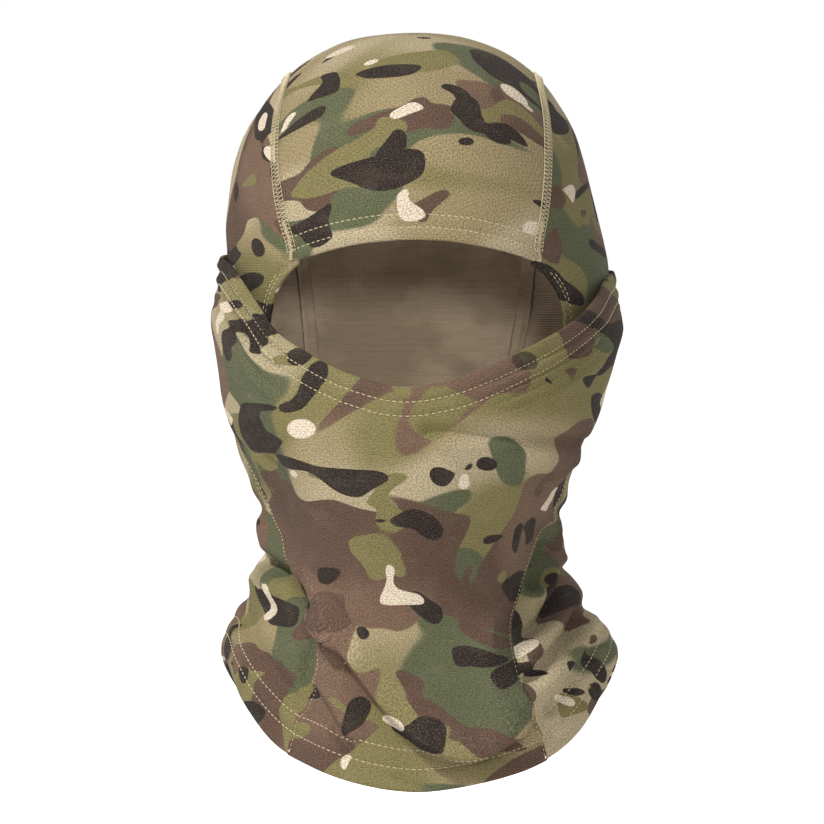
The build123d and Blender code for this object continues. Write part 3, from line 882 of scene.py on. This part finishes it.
def pinholes(nodes):
    """Rows of pinholes in the airy knit over the crown: 1 in a hole, 0 between."""
    columns, rows = (nodes.wave(direction, HOLE_COLUMN, HOLE_ROW, HOLE_TURN) for direction in "XY")
    return nodes.step(nodes.math("MULTIPLY", columns, rows), 0.60, 0.90)


def camo_knit(name, offset, green=0.0, brown=0.0, olive=0.0, airy=0.0):
    """Printed knit. green, brown and olive, from -0.1 to 0.1, say how much of each this panel shows."""
    nodes = Nodes(name, roughness=0.95, sheen=0.008)
    ox, oy = offset

    def zone(across, up, shift, low, high, distortion=0.6, detail=0.0, turn=0.0):
        """Patches of noise, so many to the metre: 0 up to low, and 1 from high."""
        place = nodes.place((across, up), (ox + shift, oy + 0.4 * shift), turn)
        return nodes.step(nodes.noise(place, detail=detail, distortion=distortion), low, high)

    soil = nodes.mix(zone(11, 15, 17, 0.42, 0.62), BROWN, LIGHT_BROWN)
    cells = {"Vector": nodes.place((26, 40), (ox + 3, oy + 29)), "Scale": 1.0}
    dots = nodes.add("TexVoronoi", cells, voronoi_dimensions="2D")
    chosen = nodes.add("SeparateColor", {0: dots["Color"]})
    drop = nodes.math("SUBTRACT", 1.0, nodes.step(dots["Distance"], 0.16, 0.18))
    fine = nodes.noise(nodes.place(GRAIN), detail=2.0, roughness=0.7)
    specks = nodes.noise(nodes.place(SPECKS, offset), detail=1.0)
    worn = nodes.noise(nodes.place(WEAR, offset), detail=3.0, roughness=0.7)
    layers = [  # each printed over the ones before it
        (KHAKI, zone(9, 12, 1, 0.38, 0.60, detail=0.6)),
        (OLIVE, zone(9, 12, 7, 0.44 - olive, 0.62 - olive, detail=0.8)),
        (GREEN, zone(12, 18, 13, 0.585 - green, 0.605 - green, 0.4, 1.3)),
        (soil, zone(11, 17, 21, 0.55 - brown, 0.558 - brown, 0.4, 1.4)),
        (BROWN, zone(24, 34, 27, 0.665, 0.673, 0.3, 1.0, turn=0.5)),
        (OLIVE, zone(22, 36, 33, 0.67, 0.68, 0.3, 1.0, turn=-0.4)),
        (DARK_BROWN, zone(17, 38, 41, 0.645, 0.651, 0.25, 1.2, turn=0.2)),
        (DARK_BROWN, zone(34, 44, 47, 0.715, 0.722, 0.2, 0.6)),
        (CREAM, zone(26, 46, 53, 0.725, 0.732, 0.2, 1.0, turn=-0.3)),
        (CREAM, nodes.math("MULTIPLY", drop, nodes.step(chosen[0], 0.91, 0.92))),
        (DARK_BROWN, nodes.math("MULTIPLY", drop, nodes.step(chosen[1], 0.90, 0.91))),
        (SHADE, nodes.veil(fine, 0.36, 0.66, 0.55)),
        (CREAM, nodes.veil(specks, 0.5, 0.75, 0.09)),
        (CREAM, nodes.veil(worn, 0.45, 0.75, 0.02)),
    ]
    colour = SAND
    for layer, share in layers:
        colour = nodes.mix(share, colour, layer)
    knit = nodes.bump(knit_bump(nodes), 0.00016)
    if airy:
        holes = pinholes(nodes)
        # The pinholes are darkened with SHADE: painted shade of the hood's dark inside, seen through them
        colour = nodes.mix(nodes.math("MULTIPLY", holes, airy), colour, SHADE)
        knit = nodes.bump(nodes.math("SUBTRACT", 1.0, holes), 0.0002, 0.6, Normal=knit)
    return nodes.finish(colour, nodes.bump(fine, 0.00035, 0.9, Normal=knit))


def reverse_knit():
    """The unprinted side, where the print only shows through dully."""
    nodes = Nodes("reverse_knit", roughness=0.92, sheen=0.1)
    soft = nodes.noise(nodes.place((25, 34)), detail=3.0)
    colour = nodes.mix(nodes.step(soft, 0.4, 0.62), REVERSE_DARK, REVERSE_LIGHT)
    ribs = nodes.noise(nodes.place(RIBS), detail=2.0)
    colour = nodes.mix(nodes.veil(ribs, 0.4, 0.7, 0.08), colour, SHADE)
    return nodes.finish(colour, nodes.bump(knit_bump(nodes), 0.00022))


def thread():
    """Sewing thread, lighter and darker along its fibres."""
    nodes = Nodes("thread", roughness=0.6, sheen=0.1)
    place = nodes.add("TexCoord", {})["Object"]
    fibres = nodes.add("TexNoise", {"Vector": place, "Scale": 2500.0})[0]
    colour = nodes.mix(nodes.step(fibres, 0.35, 0.65), THREAD_DARK, THREAD_LIGHT)
    return nodes.finish(colour, nodes.bump(fibres, 0.0002, 0.6))


# --- The hood's pieces ---
REVERSE, SEAM_THREAD = reverse_knit(), thread()


def ride_hood(piece):
    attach(piece, "hood")


def follow_cover(piece):
    """Bakes the piece's place into its mesh. It is not attached to the hood."""
    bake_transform(piece)


def finish_piece(piece, nodes, moves):
    """Hides the CAD nodes a piece stands for, and sets how it moves."""
    if nodes:
        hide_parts(*nodes)
    moves(piece)


def finish_cloth(piece, nodes, moves=ride_hood):
    """The same for cloth."""
    finish_piece(piece, nodes, moves)


def sew(name, strands, moves=ride_hood):
    """A piece made of threads. It stands for the CAD node of the same name."""
    piece = new_object(name, *tubes(strands), [SEAM_THREAD])
    finish_piece(piece, [name.lower()], moves)


def seam_allowance(path, normals, half_width, depth):
    """The turned edges of a seam, pressed flat on the inside: a narrow strip along it."""
    across = unit(np.cross(np.gradient(path, axis=0), normals))
    places = np.linspace(-half_width, half_width, ALLOWANCE_COLUMNS)
    lines = [path + across * t - normals * (depth - ALLOWANCE_RIDGE * bell(t, 1.0)) for t in places]
    flat = np.stack(np.meshgrid(places, distance_along(path[:, None], 0)[:, 0]), axis=-1)
    strip = Cloth(np.stack(lines, axis=1), flat, CENTRE_INSIDE)
    strip.normals = -strip.normals
    return strip


def build_centre(camo):
    """The centre panel and its two hems. Returns the panel and its grid."""
    grid = centre_cloth()
    brow_hem = cloth_object("Brow_Hem", grid.turned_in("first_row", BROW_HEM), camo)
    back_hem = cloth_object("Neck_Hem_Back", grid.turned_in("last_row", NECK_HEM), camo)
    panel = cloth_object("Crown_And_Back_Panel", grid.rolled(ALL_EDGES), camo)
    finish_cloth(brow_hem, ["brow_hem"])
    finish_cloth(back_hem, ["neck_hem_back"])
    finish_cloth(panel, ["centre_panel"])
    sew("Brow_Stitching", hem_stitches(grid, "first_row", BROW_ROWS))
    return panel, grid


def build_side(name, side, camo):
    """The panel over one ear and its two hems. Returns its grid."""
    grid = side_cloth(side)
    low = name.lower()
    cheek_strip = grid.turned_in("first_column", CHEEK_HEM, CHEEK_HEM_Z)
    cheek_hem = cloth_object(f"Cheek_Hem_{name}", cheek_strip, camo)
    neck_hem = cloth_object(f"Neck_Hem_{name}", grid.turned_in("first_row", NECK_HEM), camo)
    rolled = grid.rolled(("first_row", "first_column", "last_column"))
    panel = cloth_object(f"Side_Panel_{name}", rolled, camo)
    finish_cloth(cheek_hem, [f"cheek_hem_{low}"])
    finish_cloth(neck_hem, [f"neck_hem_{low}"])
    finish_cloth(panel, [f"side_panel_{low}"])
    sew(f"Cheek_Stitching_{name}", hem_stitches(grid, "first_column", CHEEK_ROWS, CHEEK_HEM_Z))
    return grid


def build_crown_seam(name, path, up):
    """One seam beside the centre panel, the turned edges under it, and the bartack at its end."""
    ladder = zigzag(path[LADDER_SPAN], up[LADDER_SPAN], **LADDER)
    beside = unit(np.cross(np.gradient(path, axis=0), up)) * LADDER_ROW_OUT
    for row in (path + beside, path - beside):
        ladder += stitches((row + up * LADDER_ROW_LIFT)[LADDER_SPAN], up[LADDER_SPAN], **LADDER_ROW)
    sew(f"Crown_Seam_{name}", ladder)
    strip = seam_allowance(path[ALLOWANCE_SPAN], up[ALLOWANCE_SPAN], **CROWN_ALLOWANCE)
    allowance = cloth_object(f"Seam_Allowance_{name}", strip, REVERSE)
    finish_cloth(allowance, [])
    sew(f"Bartack_{name}", zigzag(path[BARTACK_SPAN], up[BARTACK_SPAN], **BARTACK))


def build_hood(camo_crown, camo_left, camo_right):
    """The cloth and the threads of everything that stays on the head."""
    panel, centre = build_centre(camo_crown)
    neck = hem_stitches(centre, "last_row", NECK_ROWS)
    for name, side, column, camo in (("Left", 1, -1, camo_left), ("Right", -1, 0, camo_right)):
        neck += hem_stitches(build_side(name, side, camo), "first_row", NECK_ROWS)
        build_crown_seam(name, centre.points[:, column], centre.normals[:, column])
    sew("Neck_Stitching_Back", neck)


def build_front(camo):
    """The sheet of the neck's front and the face cover, with its hems, seams and stitching."""
    sheet = front_cloth()
    fold_front(sheet)
    cover_hem = cloth_object("Cover_Hem", sheet.turned_in("first_row", COVER_HEM), camo)
    neck_hem = cloth_object("Neck_Hem_Front", sheet.turned_in("last_row", NECK_HEM), camo)
    front = cloth_object("Face_Cover_And_Neck_Front", sheet.rolled(ALL_EDGES), camo)
    finish_cloth(cover_hem, ["cover_hem"], moves=follow_cover)
    finish_cloth(neck_hem, ["neck_hem_front"])
    finish_cloth(
        front, ["face_cover", "front_panel"],
        moves=follow_cover,
    )
    sew("Cover_Stitching", hem_stitches(sheet, "first_row", COVER_ROWS), follow_cover)
    sew("Neck_Stitching_Front", hem_stitches(sheet, "last_row", NECK_ROWS))
    for name, edge in (("Left", "last_column"), ("Right", "first_column")):
        path, up = sheet.row_at(edge, FRONT_ALLOWANCE_IN, FRONT_ALLOWANCE_Z)
        strip = seam_allowance(path, up, **FRONT_ALLOWANCE)
        allowance = cloth_object(f"Front_Allowance_{name}", strip, REVERSE)
        finish_cloth(allowance, [], moves=follow_cover)
        path, up = sheet.row_at(edge, FRONT_STITCH_IN, FRONT_STITCH_Z)
        sew(f"Front_Seam_{name}", stitches(path, up, **FRONT_STITCH), follow_cover)


build_hood(
    camo_knit("camo_knit_crown", (10.8, 7.7), brown=-0.06, olive=-0.05, airy=0.3),
    camo_knit("camo_knit_left", (7.3, 3.2)),
    camo_knit("camo_knit_right", (6.6, 8.1), brown=0.02),
)
build_front(camo_knit("camo_knit_front", (13.3, 6.1), brown=0.025))


# --- Floor, light and camera ---
LIGHTS = [  # name, place and size in metres, power in watts
    ("Key", (-1.2, -1.3, 1.8), 0.32, 138.0),
    ("Front", (0.2, -2.6, 0.36), 0.30, 40.0),
    ("Back", (0.9, 1.9, 1.3), 0.6, 30.0),
]
FLOOR_HALF, FLOOR_BELOW = 60.0, 0.12  # metres
CAMERA_DISTANCE = 4.0
CAMERA_TILT = math.radians(1.0)
CAMERA_AIM = Vector((-0.0010, 0.0, -0.0545))
CAMERA_LENS = 381.5


def aimed(name, data, place, target):
    """A light or a camera at a place, looking at a target."""
    obj = bpy.data.objects.new(name, data)
    obj.location = place
    obj.rotation_euler = (Vector(target) - Vector(place)).to_track_quat("-Z", "Y").to_euler()
    bpy.context.scene.collection.objects.link(obj)
    return obj


lowest, highest = cad_bounds

pale = Nodes("pale_floor", roughness=0.9, sheen=0.0)
pale.feed(pale.shader, {"Base Color": (0.97, 0.97, 0.97, 1), "Emission Strength": 0.08})
pale.feed(pale.shader, {"Emission Color": (1, 1, 1, 1)})
square = np.array([(-1, -1), (1, -1), (1, 1), (-1, 1)]) * FLOOR_HALF
corners = np.column_stack([square, np.full(4, lowest.z - FLOOR_BELOW)]) / MM
floor = new_object("Floor", corners, [[0, 1, 2, 3]], [pale.material])

world = bpy.data.worlds.new("soft_white")
world.use_nodes = True
background = world.node_tree.nodes["Background"].inputs
background["Color"].default_value = (1.0, 1.0, 1.0, 1)
background["Strength"].default_value = 1.0
bpy.context.scene.world = world

for name, place, size, power in LIGHTS:
    light = bpy.data.lights.new(name, "AREA")
    light.shape, light.size, light.energy = "DISK", size, power
    aimed(name, light, place, (lowest + highest) / 2)

camera_data = bpy.data.cameras.new("Camera")
camera_data.lens = CAMERA_LENS
camera_place = CAMERA_AIM + CAMERA_DISTANCE * Vector((0, -math.cos(CAMERA_TILT), math.sin(CAMERA_TILT)))
bpy.context.scene.camera = aimed("Camera", camera_data, camera_place, CAMERA_AIM)
bpy.context.scene.view_settings.view_transform = "Standard"
